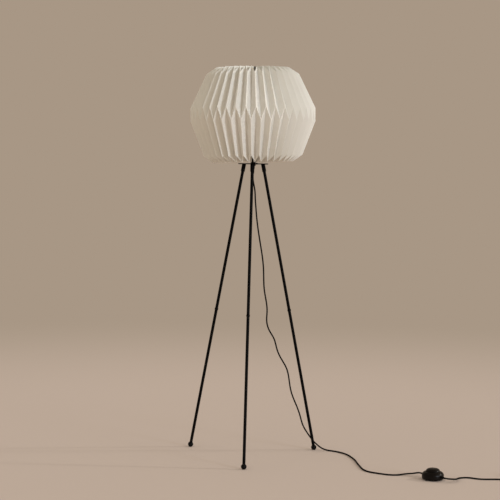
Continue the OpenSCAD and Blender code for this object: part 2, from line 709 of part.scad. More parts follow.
// Compression spring, wound from a formula
module button_spring() {
    low = block_top + spring_wire / 2;
    high = switch_h - 3 - spring_wire / 2;
    path = [for (i = [0 : 8 * spring_turns]) let (a = 45 * i)
        [spring_r * cos(a), spring_r * sin(a), low + (high - low) * i / (8 * spring_turns)]];
    color("#b9b4a8") at_switch() sweep(path, spring_wire / 2, 6, [0, 0, 1]);
}
// The latching contact unit, with its plunger seat on top
module switch_block() {
    color("#d8d2c4") at_switch() {
        translate([-block_half, -8, pad_h + switch_wall])
            cube([2 * block_half, 16, block_top - 1 - pad_h - switch_wall]);
        translate([0, 0, block_top - 1 - eps]) cylinder(d = 15.5, h = 1 + eps);
        translate([0, 0, block_top - eps]) cylinder(d = 5.4, h = 5);
    }
}
// Two bars that press the lead onto its saddles
module cord_clamps() {
    color("#171210") at_switch() for (s = [-1, 1]) translate([s * saddle_x, 0, cord_z]) difference() {
        translate([-saddle_w / 2, -8, 0]) cube([saddle_w, 16, 4.4]);
        rotate([0, 90, 0]) translate([0, 0, -saddle_w]) cylinder(d = lead_d, h = 2 * saddle_w);
    }
}
// The lead's two ends inside the reliefs and the housing
module switch_lead_ends() {
    reach = switch_d / 2 + relief_len - relief_in;
    color("#1b1a19") at_switch() for (s = [0, 180]) rotate(s) translate([block_half, 0, cord_z])
        rotate([0, 90, 0]) cylinder(d = lead_d, h = reach - block_half);
}
// Four housing screws from below
module switch_screws() {
    color("#8f8a80") at_switch() for (a = [45 : 90 : 315]) rotate(a) translate([screw_ring_r, 0, head_z]) {
        cylinder(d = 5.4, h = 1.8);
        translate([0, 0, 1.8 - eps]) cylinder(d = 2.5, h = tray_h + 1);
    }
}
module switch_pads() {
    color("#121110") at_switch() for (a = [0 : 90 : 270]) rotate(a)
        translate([24, 0, 0]) cylinder(d = 8, h = pad_h);
}
// Tapered rubber sleeve with a collar held in the housing's wall
module switch_relief(s) {
    r = switch_d / 2;
    color("#121110") at_switch() rotate([0, 90, s > 0 ? 0 : 180]) translate([-cord_z, 0, 0]) difference() {
        rotate_extrude() polygon([[lead_r + 0.05, r - relief_in], [relief_d / 2 - 0.05, r - relief_in],
            [relief_d / 2 - 0.05, r + 1], [relief_tip_d / 2, r + relief_end],
            [lead_r + 0.05, r + relief_end]]);
        for (g = [0 : 2]) tube(relief_d, lead_r + 0.9 - 0.1 * g, r + 3 + 3.4 * g, r + 4.4 + 3.4 * g);
    }
}

// ---------------------------------------------------------------- plug
module at_plug() { on_axis() translate([plug_pos[0], plug_pos[1], plug_z]) children(); }
module plug_body() {
    front = boot_len + plug_len;
    w = plug_w / 2;
    color("#141312") at_plug() difference() {
        intersection() {
            translate([0, boot_len, -plug_t / 2]) linear_extrude(plug_t) polygon([[-7, 0], [7, 0],
                [w - 3, 8], [w - 1.4, 14], [w - 1.4, 20], [w, 27], [w, plug_len], [-w, plug_len],
                [-w, 27], [1.4 - w, 20], [1.4 - w, 14], [3 - w, 8]]);
            translate([-plug_w, boot_len, 0]) rotate([90, 0, 90]) linear_extrude(2 * plug_w)
                polygon([[-1, -5], [8, -plug_t / 2], [plug_len, -plug_t / 2],
                    [plug_len, plug_t / 2], [8, plug_t / 2], [-1, 5]]);
        }
        for (s = [-1, 1]) translate([s * pin_pitch / 2, front + 1, 0]) rotate([90, 0, 0])
            cylinder(d = pin_root_d, h = pin_root + 1);
    }
}
// The lead's end inside the boot
module plug_lead_end() {
    color("#1b1a19") at_plug() rotate([-90, 0, 0]) cylinder(d = lead_d, h = boot_len);
}
module plug_boot() {
    color("#141312") at_plug() rotate([-90, 0, 0]) difference() {
        rotate_extrude() polygon([[lead_r + 0.05, 0], [lead_r + 0.8, 0], [5, boot_len - 2], [5, boot_len],
            [lead_r + 0.05, boot_len]]);
        for (g = [0 : 3]) tube(relief_d, lead_r + 0.7 + 0.25 * g, 3 + 4 * g, 4.6 + 4 * g);
    }
}
module plug_pins() {
    color("#c9c3b6") at_plug() for (s = [-1, 1]) translate([s * pin_pitch / 2, boot_len + plug_len, 0])
        rotate([-90, 0, 0]) rotate_extrude() polygon([[0, -pin_root], [pin_root_d / 2, -pin_root],
            [pin_root_d / 2, 0], [pin_d / 2, 0], [pin_d / 2, pin_len - 1], [pin_d / 2 - 1, pin_len],
            [0, pin_len]]);
}

base_plate();
leg_socket(1);  // leg_socket_1
leg_socket(2);  // leg_socket_2
leg_socket(3);  // leg_socket_3
leg_inserts();
upper_leg(1);  // upper_leg_1
upper_leg(2);  // upper_leg_2
upper_leg(3);  // upper_leg_3
leg_joint(1);  // leg_joint_1
leg_joint(2);  // leg_joint_2
leg_joint(3);  // leg_joint_3
lower_leg(1);  // lower_leg_1
lower_leg(2);  // lower_leg_2
lower_leg(3);  // lower_leg_3
ball_foot(1);  // ball_foot_1
ball_foot(2);  // ball_foot_2
ball_foot(3);  // ball_foot_3
stem_tube();
stem_nuts();
stem_washers();
lock_screw();
cord_grip();
cord_in_stem();
holder_foot();
holder_shell();
contact_block();
centre_contact();
ring_nut();
shade_carrier();
carrier_knob();
paper_shade(1);  // paper_shade_1
paper_shade(2);  // paper_shade_2
paper_shade(3);  // paper_shade_3
paper_shade(4);  // paper_shade_4
paper_shade(5);  // paper_shade_5
bulb_tip();
bulb_cap();
bulb_neck();
bulb_globe();
lamp_lead();
mains_lead();
lead_coil();
lead_tail();
coil_tie();
switch_tray();
switch_cover();
press_button();
button_spring();
switch_block();
cord_clamps();
switch_lead_ends();
switch_screws();
switch_pads();
switch_relief(-1);  // switch_relief_in
switch_relief(1);  // switch_relief_out
plug_body();
plug_boot();
plug_lead_end();
plug_pins();
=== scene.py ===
"""Paper lantern floor lamp: the finishes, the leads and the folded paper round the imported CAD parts."""

import json
import math

import bmesh
import bpy
import numpy as np
from mathutils import Matrix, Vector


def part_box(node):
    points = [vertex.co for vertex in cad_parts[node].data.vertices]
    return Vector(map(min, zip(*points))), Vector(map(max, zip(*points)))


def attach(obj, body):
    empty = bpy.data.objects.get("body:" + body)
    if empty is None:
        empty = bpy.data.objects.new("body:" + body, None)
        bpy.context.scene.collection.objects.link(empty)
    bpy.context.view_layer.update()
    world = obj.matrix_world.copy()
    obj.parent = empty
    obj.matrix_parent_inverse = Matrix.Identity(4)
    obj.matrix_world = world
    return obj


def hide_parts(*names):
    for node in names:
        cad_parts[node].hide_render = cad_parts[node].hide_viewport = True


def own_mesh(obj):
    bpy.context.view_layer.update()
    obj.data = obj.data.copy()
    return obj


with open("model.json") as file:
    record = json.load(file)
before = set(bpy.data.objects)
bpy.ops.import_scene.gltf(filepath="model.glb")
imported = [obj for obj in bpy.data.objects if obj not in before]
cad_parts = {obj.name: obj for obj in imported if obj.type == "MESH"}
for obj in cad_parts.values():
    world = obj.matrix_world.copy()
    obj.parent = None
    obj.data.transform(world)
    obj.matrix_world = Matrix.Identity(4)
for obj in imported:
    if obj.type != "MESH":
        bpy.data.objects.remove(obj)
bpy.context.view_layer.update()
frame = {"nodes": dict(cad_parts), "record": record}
scene = bpy.context.scene

MM = 0.001
plate_low, plate_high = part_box("base_plate")
AXIS = np.array([0.0, (plate_low.y + plate_high.y) / 2, 0.0])
PLATE_TOP = plate_high.z


# ---------------------------------------------------------------- camera
CAMERA_DISTANCE = 6.100
CAMERA_SIDE = math.radians(4.048)
CAMERA_HEIGHT = 1.1721
CAMERA_TURN = math.radians(4.125)
CAMERA_DIP = math.radians(3.213)
CAMERA_ROLL = math.radians(0.745)
FOCAL_PIXELS = 1522.55
IMAGE_PIXELS = 500
SENSOR_MM = 36.0
CLIP_END = 200


def make_camera():
    """The photograph's view, turned, dipped and rolled by the angles above."""
    data = bpy.data.cameras.new("view")
    data.sensor_width = SENSOR_MM
    data.lens = FOCAL_PIXELS / IMAGE_PIXELS * SENSOR_MM
    data.clip_end = CLIP_END
    camera = bpy.data.objects.new("view", data)
    scene.collection.objects.link(camera)
    place = AXIS + CAMERA_DISTANCE * np.array([math.sin(CAMERA_SIDE), -math.cos(CAMERA_SIDE), 0])
    turn = (Matrix.Rotation(CAMERA_TURN, 4, "Z") @ Matrix.Rotation(math.pi / 2 - CAMERA_DIP, 4, "X")
            @ Matrix.Rotation(CAMERA_ROLL, 4, "Z"))
    camera.matrix_world = Matrix.Translation((place[0], place[1], CAMERA_HEIGHT)) @ turn
    scene.camera = camera


# ---------------------------------------------------------------- meshes
ROUND_SHARP = 60


def piece(name, points, faces, uv=None, sharp=None):
    """A mesh on the root from a table of points and one of faces, smooth but for edges sharper than sharp
    degrees."""
    mesh = bpy.data.meshes.new(name)
    mesh.from_pydata(points.tolist(), [], [list(f) for f in faces])
    if uv is not None:
        mesh.uv_layers.new(name="UVMap").data.foreach_set("uv", uv.astype(np.float32).ravel())
    mesh.polygons.foreach_set("use_smooth", [True] * len(mesh.polygons))
    if sharp is not None:
        mesh.set_sharp_from_angle(angle=math.radians(sharp))
    obj = bpy.data.objects.new(name, mesh)
    scene.collection.objects.link(obj)
    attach(obj, "root")
    return obj


def quads(rows, columns, around):
    """Corners of the quads of a grid of rows by columns points; around joins the last column to the first
    one."""
    r, c = np.meshgrid(np.arange(rows - 1), np.arange(columns if around else columns - 1), indexing="ij")
    right = (c + 1) % columns
    corners = [r * columns + c, r * columns + right, (r + 1) * columns + right, (r + 1) * columns + c]
    return np.stack(corners, -1).reshape(-1, 4)


def weld(obj, near=1e-6):
    """Merges points that lie on each other, so that seams and poles are closed."""
    work = bmesh.new()
    work.from_mesh(obj.data)
    bmesh.ops.remove_doubles(work, verts=work.verts, dist=near)
    bmesh.ops.dissolve_degenerate(work, edges=work.edges, dist=near)
    work.to_mesh(obj.data)
    work.free()


def unit(v):
    """Each vector of an array divided by its own length."""
    return v / np.linalg.norm(v, axis=-1, keepdims=True)


def smooth(share):
    """A smooth rise from 0 to 1 as share does."""
    share = np.clip(share, 0, 1)
    return share * share * (3 - 2 * share)


def spline(points, step, start=None, end=None):
    """A cubic spline through the points, with its parameter the chord length and its tangents from the
    usual three-diagonal system, cut into about equal steps. start and end are its end directions."""
    p = np.array(points, float)
    h = np.linalg.norm(np.diff(p, axis=0), axis=1)
    slope = np.diff(p, axis=0) / h[:, None]
    n = len(p)
    system, right = np.zeros((n, n)), np.zeros((n, 3))
    inner = np.arange(1, n - 1)
    system[inner, inner - 1] = h[1:]
    system[inner, inner] = 2 * (h[:-1] + h[1:])
    system[inner, inner + 1] = h[:-1]
    right[1:-1] = 3 * (h[1:, None] * slope[:-1] + h[:-1, None] * slope[1:])
    system[0, 0] = system[-1, -1] = 1
    right[0] = slope[0] if start is None else start
    right[-1] = slope[-1] if end is None else end
    m = np.linalg.solve(system, right)
    along = np.concatenate([[0], np.cumsum(h)])
    s = np.linspace(0, along[-1], max(2, round(along[-1] / step)) + 1)
    i = np.clip(np.searchsorted(along, s, side="right") - 1, 0, n - 2)
    t = ((s - along[i]) / h[i])[:, None]
    hi = h[i][:, None]
    return ((2 * t**3 - 3 * t**2 + 1) * p[i] + (t**3 - 2 * t**2 + t) * hi * m[i]
            + (3 * t**2 - 2 * t**3) * p[i + 1] + (t**3 - t**2) * hi * m[i + 1])


def frames(path, side):
    """Headings of a path, and the side directions carried along it without twist."""
    heading = unit(np.gradient(path, axis=0))
    across = np.empty_like(path)
    carried = np.array(side, float)
    for i, t in enumerate(heading):
        carried = carried - (carried @ t) * t
        carried /= np.linalg.norm(carried)
        across[i] = carried
    return heading, across, np.cross(heading, across)


def tube(name, path, radius, sides=24, side=(1, 0, 0)):
    """A closed tube: the point (i, a) is path[i] + radius (cos a * across[i] + sin a * up[i]). Its UV map
    holds the share of a turn, and the length along it in metres."""
    heading, across, up = frames(path, side)
    a = np.linspace(0, 2 * math.pi, sides, endpoint=False)[None, :, None]
    points = path[:, None] + radius * (np.cos(a) * across[:, None] + np.sin(a) * up[:, None])
    faces = quads(len(path), sides, True)
    length = np.concatenate([[0], np.cumsum(np.linalg.norm(np.diff(path, axis=0), axis=1))])
    row, column = faces // sides, faces % sides
    turn = np.where((column == 0) & (column[:, :1] == sides - 1), 1.0, column / sides)
    uv = np.stack([turn, length[row]], -1).reshape(-1, 2)
    ends = [list(range(sides))[::-1], list(range((len(path) - 1) * sides, len(path) * sides))]
    uv = np.concatenate([uv, np.zeros((2 * sides, 2))])
    return piece(name, points.reshape(-1, 3), list(faces) + ends, uv, ROUND_SHARP)


# ---------------------------------------------------------------- leads
# Points and lengths in millimetres from the lamp's axis on the floor, as they are in the CAD source, but
# for AFTER_SWITCH, which bends a little more gently there than the solid does
LEAD_R = 3.0
GRIP_LOW = plate_low.z / MM - 36.5
SWITCH = np.array([719.0, -390.0, 15.0])
SWITCH_TURN = math.radians(-45)
SWITCH_R = 41.5
RELIEF_END = 14.0
COIL = np.array([1050.0, -324.0])
COIL_R = 42.0
COIL_STEP = 6.6
COIL_TURNS = 5.25
COIL_Z = 4.2
COIL_CLIMB = 0.5
COIL_ROUNDING = 0.01
COIL_CUTS = 90
PLUG = np.array([1094.0, -270.0, 7.0])
HANG_ROUTE = [[0, 0, 1118], [3, 1, 1096], [8, 4, 1068], [10, 5, 1035], [13, 6, 998],
              [17, 8, 955], [23, 11, 910], [31, 15, 860], [39, 19, 812], [45, 22, 762], [47, 23, 715],
              [50, 24, 668], [58, 28, 622], [62, 30, 582], [61, 30, 542], [71, 34, 505],
              [91, 44, 468], [103, 50, 426], [120, 58, 387], [142, 69, 346], [153, 75, 298],
              [162, 79, 249], [179, 87, 203], [197, 96, 155], [211, 102, 109], [230, 111, 75],
              [248, 119, 49], [270, 128, 25], [293, 130, 9]]
FLOOR_ROUTE = [[320, 124, 3], [350, 104, 3], [379, 72, 3], [400, 30, 3], [413, -12, 3],
               [425, -60, 3], [436, -130, 3], [448, -200, 3], [463, -260, 3], [486, -295, 3],
               [520, -318, 3], [560, -337, 3], [592, -335, 3.5], [622, -327, 6.5], [648, -331, 10]]
AFTER_SWITCH = [[773.3, -441.6, 15], [782.3, -443.3, 14.8], [794.3, -440.1, 14], [803.1, -431.3, 12.5],
                [806.8, -418, 10.3], [808.5, -401, 7.5], [811.5, -384, 5.2], [818.5, -368, 3.9],
                [831.5, -354.6, 3], [852, -350.5, 3], [876, -361.5, 3], [901, -371.5, 3], [935, -369, 3],
                [970, -366, 3], [1005, -366, 3]]
TAIL_ROUTE = [[1093, -302, 10], [1094, -286, 8]]
# Straight stretches where a lead leaves or meets a piece, and on each side of the coil
BELOW_GRIP = 6.0
BEFORE_SWITCH, PAST_SWITCH = 12.0, 10.0
COIL_GAP, BEFORE_COIL, PAST_COIL = 6.0, 12.0, 5.0
BEFORE_PLUG = 6.0
STEP = 3.0


def coil_point(u):
    """The coil after u turns: in along the lower layer, up in COIL_CLIMB turns, and out along the upper
    one."""
    half = COIL_TURNS / 2
    rounded = np.sqrt((u - half) ** 2 + COIL_ROUNDING)
    r = COIL_R - COIL_STEP * (math.sqrt(half**2 + COIL_ROUNDING) - rounded)
    climbed = np.clip(u - half + COIL_CLIMB / 2, 0, COIL_CLIMB) / COIL_CLIMB
    rise = (1 - np.cos(math.pi * climbed)) / 2
    a = np.radians(-90 + 360 * u)
    return np.stack([COIL[0] + r * np.cos(a), COIL[1] + r * np.sin(a), COIL_Z + COIL_STEP * rise], -1)


def laid(path):
    """The path in metres round the lamp's axis, lifted so that no lead sinks into the floor."""
    path = path.copy()
    path[:, 2] = np.maximum(path[:, 2], LEAD_R)
    return path * MM + AXIS


def make_leads():
    """The lamp's lead down to the switch, and the mains lead through its coil to the plug."""
    heading = np.array([math.cos(SWITCH_TURN), math.sin(SWITCH_TURN), 0])
    into = SWITCH - (SWITCH_R + RELIEF_END) * heading
    out = SWITCH + (SWITCH_R + RELIEF_END) * heading
    top = [0, 0, GRIP_LOW]
    lamp = laid(spline([top, [0, 0, GRIP_LOW - BELOW_GRIP], *HANG_ROUTE, *FLOOR_ROUTE,
                        into - BEFORE_SWITCH * heading, into], STEP, (0, 0, -1), heading))
    turns = coil_point(np.linspace(0, COIL_TURNS, int(COIL_TURNS * COIL_CUTS)))
    enter, leave = unit(turns[1] - turns[0]), unit(turns[-1] - turns[-2])
    before = turns[0] - COIL_GAP * enter
    after = turns[-1] + COIL_GAP * leave
    first = spline([out, out + PAST_SWITCH * heading, *AFTER_SWITCH, before - BEFORE_COIL * enter, before],
                   STEP, heading, enter)
    last = spline([after, after + PAST_COIL * leave, *TAIL_ROUTE, PLUG - [0, BEFORE_PLUG, 0], PLUG],
                  STEP, leave, (0, 1, 0))
    mains = laid(np.concatenate([first, turns, last]))
    lamp_lead = tube("lamp_lead_sleeve", lamp, LEAD_R * MM)
    mains_lead = tube("mains_lead_sleeve", mains, LEAD_R * MM, side=(0, 0, 1))
    return lamp_lead, lamp, mains_lead, mains


# ---------------------------------------------------------------- strap and spring
# Lengths in millimetres, turns of the spring, and counts of cuts
TIE_ANGLE = math.radians(100)
TIE_WIDTH = 12.0
TIE_THICK = 1.0
TIE_CORNER = 5.0
TIE_LAP = 17.0
TIE_SLACK = 0.8
TIE_CROWN = 0.25
TIE_STEP_OUT = 1.12
TIE_RAMP, TIE_RAMP_LEAD = 7.0, 3.0
TIE_CUTS, TIE_COLUMNS = 181, 9
LOOP_CUTS = 2000


def rounded_loop(half_wide, half_high, corner, s):
    """Points, and outward normals, at the lengths s along a rounded rectangle. It starts at the middle of
    the top side and runs towards +X: four straight sides joined by quarter circles of the corner's
    radius. The places are the headings added up along the way."""
    wide, high = half_wide - corner, half_high - corner
    arc = corner * math.pi / 2
    lengths = [wide, arc, 2 * high, arc, 2 * wide, arc, 2 * high, arc, wide]
    curved = np.arange(len(lengths)) % 2
    knots = np.concatenate([[0], np.cumsum(lengths)])
    turned = np.concatenate([[0], np.cumsum(curved * math.pi / 2)])
    s = s % knots[-1]
    heading = -np.interp(s, knots, turned)
    fine = np.linspace(0, knots[-1], LOOP_CUTS + 1)
    fine_heading = -np.interp(fine, knots, turned)
    along = np.stack([np.cos(fine_heading), np.sin(fine_heading)], -1)
    steps = (along[1:] + along[:-1]) / 2 * knots[-1] / LOOP_CUTS
    walked = np.concatenate([[[0, 0]], np.cumsum(steps, axis=0)]) + [0, half_high]
    place = np.stack([np.interp(s, fine, walked[:, k]) for k in (0, 1)], -1)
    return place, np.stack([-np.sin(heading), np.cos(heading)], -1)


def make_tie():
    """The strap round the coil's bundle. The point (s, v) lies at the length s along a rounded rectangle
    round the turns' cross-section and at v across the width; past one turn it steps out by its own
    thickness, where the end laps over the start."""
    inner = COIL_R - COIL_STEP * COIL_TURNS / 2 - LEAD_R - TIE_SLACK
    outer = COIL_R + LEAD_R + TIE_SLACK
    top = COIL_Z + COIL_STEP + LEAD_R + TIE_SLACK
    half_wide, half_high = (outer - inner) / 2, (top - TIE_THICK / 2) / 2
    around = 4 * (half_wide + half_high) - (8 - 2 * math.pi) * TIE_CORNER
    s = np.linspace(-0.5 * TIE_LAP, around + 0.5 * TIE_LAP, TIE_CUTS)
    place, normal = rounded_loop(half_wide, half_high, TIE_CORNER, s)
    out = TIE_STEP_OUT * TIE_THICK * smooth((s - around + 0.5 * TIE_LAP + TIE_RAMP_LEAD) / TIE_RAMP)
    place = place + normal * out[:, None]
    v = np.linspace(-1, 1, TIE_COLUMNS)[None, :]
    crown = TIE_CROWN * (1 - v * v)
    reach = (inner + outer) / 2 + place[:, :1] + normal[:, :1] * crown
    height = (top + TIE_THICK / 2) / 2 + place[:, 1:] + normal[:, 1:] * crown
    side = v * TIE_WIDTH / 2
    x = COIL[0] + reach * math.cos(TIE_ANGLE) - side * math.sin(TIE_ANGLE)
    y = COIL[1] + reach * math.sin(TIE_ANGLE) + side * math.cos(TIE_ANGLE)
    points = np.stack([x, y, height], -1).reshape(-1, 3) * MM + AXIS
    tie = piece("coil_strap", points, quads(TIE_CUTS, TIE_COLUMNS, False), sharp=ROUND_SHARP)
    wall = tie.modifiers.new("strap", "SOLIDIFY")
    wall.thickness = TIE_THICK * MM
    wall.offset = 0
    return tie


SPRING_LOW, SPRING_HIGH = 20.0, 40.5
SPRING_R, SPRING_WIRE, SPRING_TURNS = 6.0, 1.0, 5
# Turns that lie closed at each end, the rise of a closed turn in wires, and the share of the open turns'
# rise that starts and stops smoothly
SPRING_FLAT, SPRING_CLOSED, SPRING_EASE = 0.7, 0.55, 0.35
SPRING_CUTS, SPRING_SIDES = 40, 12


def make_spring():
    """The button's return spring after u turns: a helix whose first and last turns are closed, so that its
    ends are flat."""
    u = np.linspace(0, SPRING_TURNS, SPRING_CUTS * SPRING_TURNS + 1)
    share = (u - SPRING_FLAT) / (SPRING_TURNS - 2 * SPRING_FLAT)
    rise = SPRING_EASE * smooth(share) + (1 - SPRING_EASE) * np.clip(share, 0, 1)
    closed = np.minimum(u, SPRING_FLAT) + np.maximum(u - SPRING_TURNS + SPRING_FLAT, 0)
    lift = SPRING_WIRE * SPRING_CLOSED
    z = SPRING_LOW + lift * closed + (SPRING_HIGH - SPRING_LOW - 2 * SPRING_FLAT * lift) * rise
    a = 2 * math.pi * u
    path = np.stack([SWITCH[0] + SPRING_R * np.cos(a), SWITCH[1] + SPRING_R * np.sin(a), z], -1) * MM + AXIS
    spring = tube("return_spring", path, SPRING_WIRE / 2 * MM, sides=SPRING_SIDES)
    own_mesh(spring)
    return spring


# ---------------------------------------------------------------- finishes
class Value:
    """A shader socket that sums, products and comparisons turn into Math nodes."""

    def __init__(self, finish, socket):
        self.finish = finish
        self.socket = socket

    def math(self, operation, *inputs):
        return self.finish.node("Math", {"operation": operation}, dict(enumerate(inputs)))

    def __add__(self, other):
        return self.math("ADD", self, other)

    __radd__ = __add__

    def __sub__(self, other):
        return self.math("SUBTRACT", self, other)

    def __rsub__(self, other):
        return self.math("SUBTRACT", other, self)

    def __mul__(self, other):
        return self.math("MULTIPLY", self, other)

    __rmul__ = __mul__

    def __mod__(self, other):
        return self.math("FLOORED_MODULO", self, other)

    def __gt__(self, other):
        return self.math("GREATER_THAN", self, other)


class Finish:
    """A material or world being made: its node tree, and short ways to add nodes to it."""

    def __init__(self, owner):
        owner.use_nodes = True
        self.owner = owner
        self.tree = owner.node_tree

    def node(self, kind, settings=None, inputs=None, output=0):
        """A node of that kind, with its settings made first and its sockets filled or linked next."""
        made = self.tree.nodes.new("ShaderNode" + kind)
        for name, value in (settings or {}).items():
            if name == "stops":
                self.stops(made.color_ramp.elements, value)
            else:
                setattr(made, name, value)
        for name, value in (inputs or {}).items():
            self.fill(made.inputs[name], value)
        return Value(self, made.outputs[output])

    @staticmethod
    def stops(elements, wanted):
        """Sets a ramp's stops to the wanted pairs of place and colour."""
        while len(elements) < len(wanted):
            elements.new(0.5)
        for element, (place, colour) in zip(elements, wanted):
            element.position = place
            element.color = (*colour, 1)

    def fill(self, socket, value):
        """Links a socket to another, or sets its value."""
        if isinstance(value, Value):
            self.tree.links.new(value.socket, socket)
        elif isinstance(value, tuple) and len(value) == 3 and len(socket.default_value) == 4:
            socket.default_value = (*value, 1)
        else:
            socket.default_value = value

    def place(self, scale=(1, 1, 1)):
        """Object coordinates, in metres times the scale along each axis."""
        coordinates = self.node("TexCoord", output="Object")
        return self.node("Mapping", {}, {"Vector": coordinates, "Scale": scale})

    def noise(self, scale, detail=3.0, roughness=0.55, at=None):
        """Noise around 0.5 whose grains are about 1/scale metres wide."""
        return self.node("TexNoise", {}, {"Vector": at or self.place(), "Scale": scale,
                                          "Detail": detail, "Roughness": roughness})

    def mix(self, share, a, b):
        """Colour a where share is 0 and b where it is 1."""
        return self.node("Mix", {"data_type": "RGBA"}, {0: share, 6: a, 7: b}, 2)

    def step(self, value, low, high):
        """A smooth rise from 0 at low to 1 at high."""
        return self.node("MapRange", {"interpolation_type": "SMOOTHSTEP"},
                         {"Value": value, "From Min": low, "From Max": high})

    def bump(self, height, depth, strength):
        """Normals of a relief whose height runs from 0 to depth metres."""
        return self.node("Bump", {}, {"Height": height, "Distance": depth, "Strength": strength})

    def looked_at(self):
        """1 for the rays that show the backdrop, seen, mirrored or through glass, and 0 for those that
        light the scene."""
        camera = self.node("LightPath", output="Is Camera Ray")
        rays = camera.socket.node.outputs
        seen = camera + Value(self, rays["Is Glossy Ray"]) + Value(self, rays["Is Transmission Ray"])
        return seen.math("MINIMUM", seen, 1.0)

    def parts(self, vector):
        """The X, Y and Z of a vector."""
        split = self.node("SeparateXYZ", {}, {0: vector})
        return [Value(self, socket) for socket in split.socket.node.outputs]


class Surface(Finish):
    """A material built round one Principled shader."""

    def __init__(self, name, **sockets):
        super().__init__(bpy.data.materials.new(name))
        self.shader = self.tree.nodes["Principled BSDF"]
        self.set(**sockets)

    def set(self, **sockets):
        """Fills sockets of the Principled shader; a name's underscores are its spaces."""
        for name, value in sockets.items():
            self.fill(self.shader.inputs[name.replace("_", " ")], value)


def powder_coat():
    """Satin black powder coat: a fine orange peel, slightly uneven sheen."""
    s = Surface("black_powder_coat", Specular_IOR_Level=0.06)
    peel = s.noise(1400, 2)
    cloud = s.noise(22, 3)
    s.set(Base_Color=s.mix(cloud, (0.0010, 0.0009, 0.0009), (0.0024, 0.0022, 0.0021)),
          Roughness=0.42 + 0.16 * cloud, Normal=s.bump(peel, 0.00012, 0.45))
    return s.owner


def black_zinc():
    """Black-plated steel of the threaded stem, its nuts and washers."""
    s = Surface("black_zinc", Metallic=0.9)
    cloud = s.noise(60, 4)
    fine = s.noise(900, 2)
    s.set(Base_Color=s.mix(cloud, (0.020, 0.019, 0.018), (0.045, 0.043, 0.040)),
          Roughness=0.38 + 0.2 * fine, Normal=s.bump(fine, 0.00005, 0.4))
    return s.owner


def bright_zinc():
    """Bright zinc plate on turned steel: fine rings and a faint cloud."""
    s = Surface("bright_zinc", Metallic=1.0)
    cloud = s.noise(90, 4)
    turned = s.noise(1.0, 2, at=s.place((250, 250, 4000)))
    s.set(Base_Color=s.mix(cloud, (0.50, 0.50, 0.49), (0.62, 0.61, 0.57)),
          Roughness=0.24 + 0.22 * turned, Normal=s.bump(turned, 0.00003, 0.5))
    return s.owner


def foot_rubber():
    """Moulded black rubber with a soft sheen and a little floor dust low down."""
    s = Surface("moulded_rubber", Specular_IOR_Level=0.12)
    grain = s.noise(1800, 3)
    height = s.parts(s.place())[2]
    dust = (1 - s.step(height, 0.0005, 0.006)) * s.noise(260, 4)
    s.set(Base_Color=s.mix(0.22 * dust, (0.0025, 0.0025, 0.0025), (0.09, 0.08, 0.07)),
          Roughness=0.5 + 0.18 * grain + 0.2 * dust, Normal=s.bump(grain, 0.00008, 0.5))
    return s.owner


def black_plastic():
    """Moulded black plastic with a fine spark-eroded grain."""
    s = Surface("matt_black_plastic", Specular_IOR_Level=0.15)
    grain = s.noise(2600, 2, 0.7)
    cloud = s.noise(40, 3)
    s.set(Base_Color=s.mix(cloud, (0.0030, 0.0029, 0.0028), (0.0060, 0.0057, 0.0055)),
          Roughness=0.44 + 0.12 * grain, Normal=s.bump(grain, 0.00007, 0.5))
    return s.owner


def switch_plastic():
    """Polished brown-black plastic with a coat, faint flow marks and hairline scuffs."""
    s = Surface("polished_switch_plastic", Specular_IOR_Level=0.12, Coat_Roughness=0.34)
    flow = s.noise(35, 2, 0.4)
    scuff = s.step(s.noise(1.0, 2, at=s.place((2400, 180, 600))), 0.62, 0.72)
    s.set(Base_Color=s.mix(flow, (0.0020, 0.0011, 0.0009), (0.0042, 0.0024, 0.0018)),
          Roughness=0.34 + 0.08 * flow + 0.12 * scuff, Coat_Weight=0.11 - 0.05 * scuff,
          Normal=s.bump(s.noise(240, 2), 0.00004, 0.35))
    return s.owner


def braid():
    """Textile sleeve: eight strands each way, plaited over and under, each of a few fine yarns. It reads
    the share of a turn and the length along the lead from the piece's own UV map."""
    s = Surface("braided_textile", Specular_IOR_Level=0.05)
    strands, cells_a_metre, yarns = 8, 430, 5
    u, v, _ = s.parts(s.node("UVMap"))
    right = u * strands + v * cells_a_metre
    left = u * strands - v * cells_a_metre
    across_r = (right % 1) * 2 - 1
    across_l = (left % 1) * 2 - 1
    round_r = 1 - across_r * across_r
    round_l = 1 - across_l * across_l
    over = ((right - (right % 1)) + (left - (left % 1))) % 2
    over_height = round_r * (0.5 + 0.5 * round_l)
    under_height = round_l * (0.5 + 0.5 * round_r)
    plait = over * over_height + (1 - over) * under_height
    yarn_place = over * right + (1 - over) * left
    from_middle = yarn_place * yarns % 1 - 0.5
    yarn = 1 - 4 * from_middle * from_middle
    fleck = s.noise(1.0, 2, at=s.place((3000, 3000, 3000)))
    # The plait and yarn terms are painted shade in the dips between strands and yarns, with paler crowns; the
    # fleck is the yarns' own uneven tone
    shade = 0.35 * plait + 0.25 * yarn + 0.4 * fleck
    s.set(Base_Color=s.mix(shade, (0.0008, 0.0008, 0.0008), (0.0070, 0.0064, 0.0060)),
          Roughness=0.62 + 0.2 * fleck, Normal=s.bump(plait + 0.18 * yarn, 0.00035, 0.9))
    return s.owner


def hook_tape():
    """Woven black tie strap: a tight twill with a soft nap."""
    s = Surface("woven_tie", Specular_IOR_Level=0.2, Sheen_Weight=0.3)
    x, y, z = s.parts(s.place((1500, 1500, 1500)))
    twill = ((x + y + z) % 1) * ((x - y + z) % 1)
    nap = s.noise(2500, 3)
    s.set(Base_Color=s.mix(twill * 0.6 + nap * 0.4, (0.012, 0.012, 0.011), (0.055, 0.053, 0.050)),
          Roughness=0.75 + 0.15 * nap, Normal=s.bump(twill + nap, 0.0003, 0.8))
    return s.owner


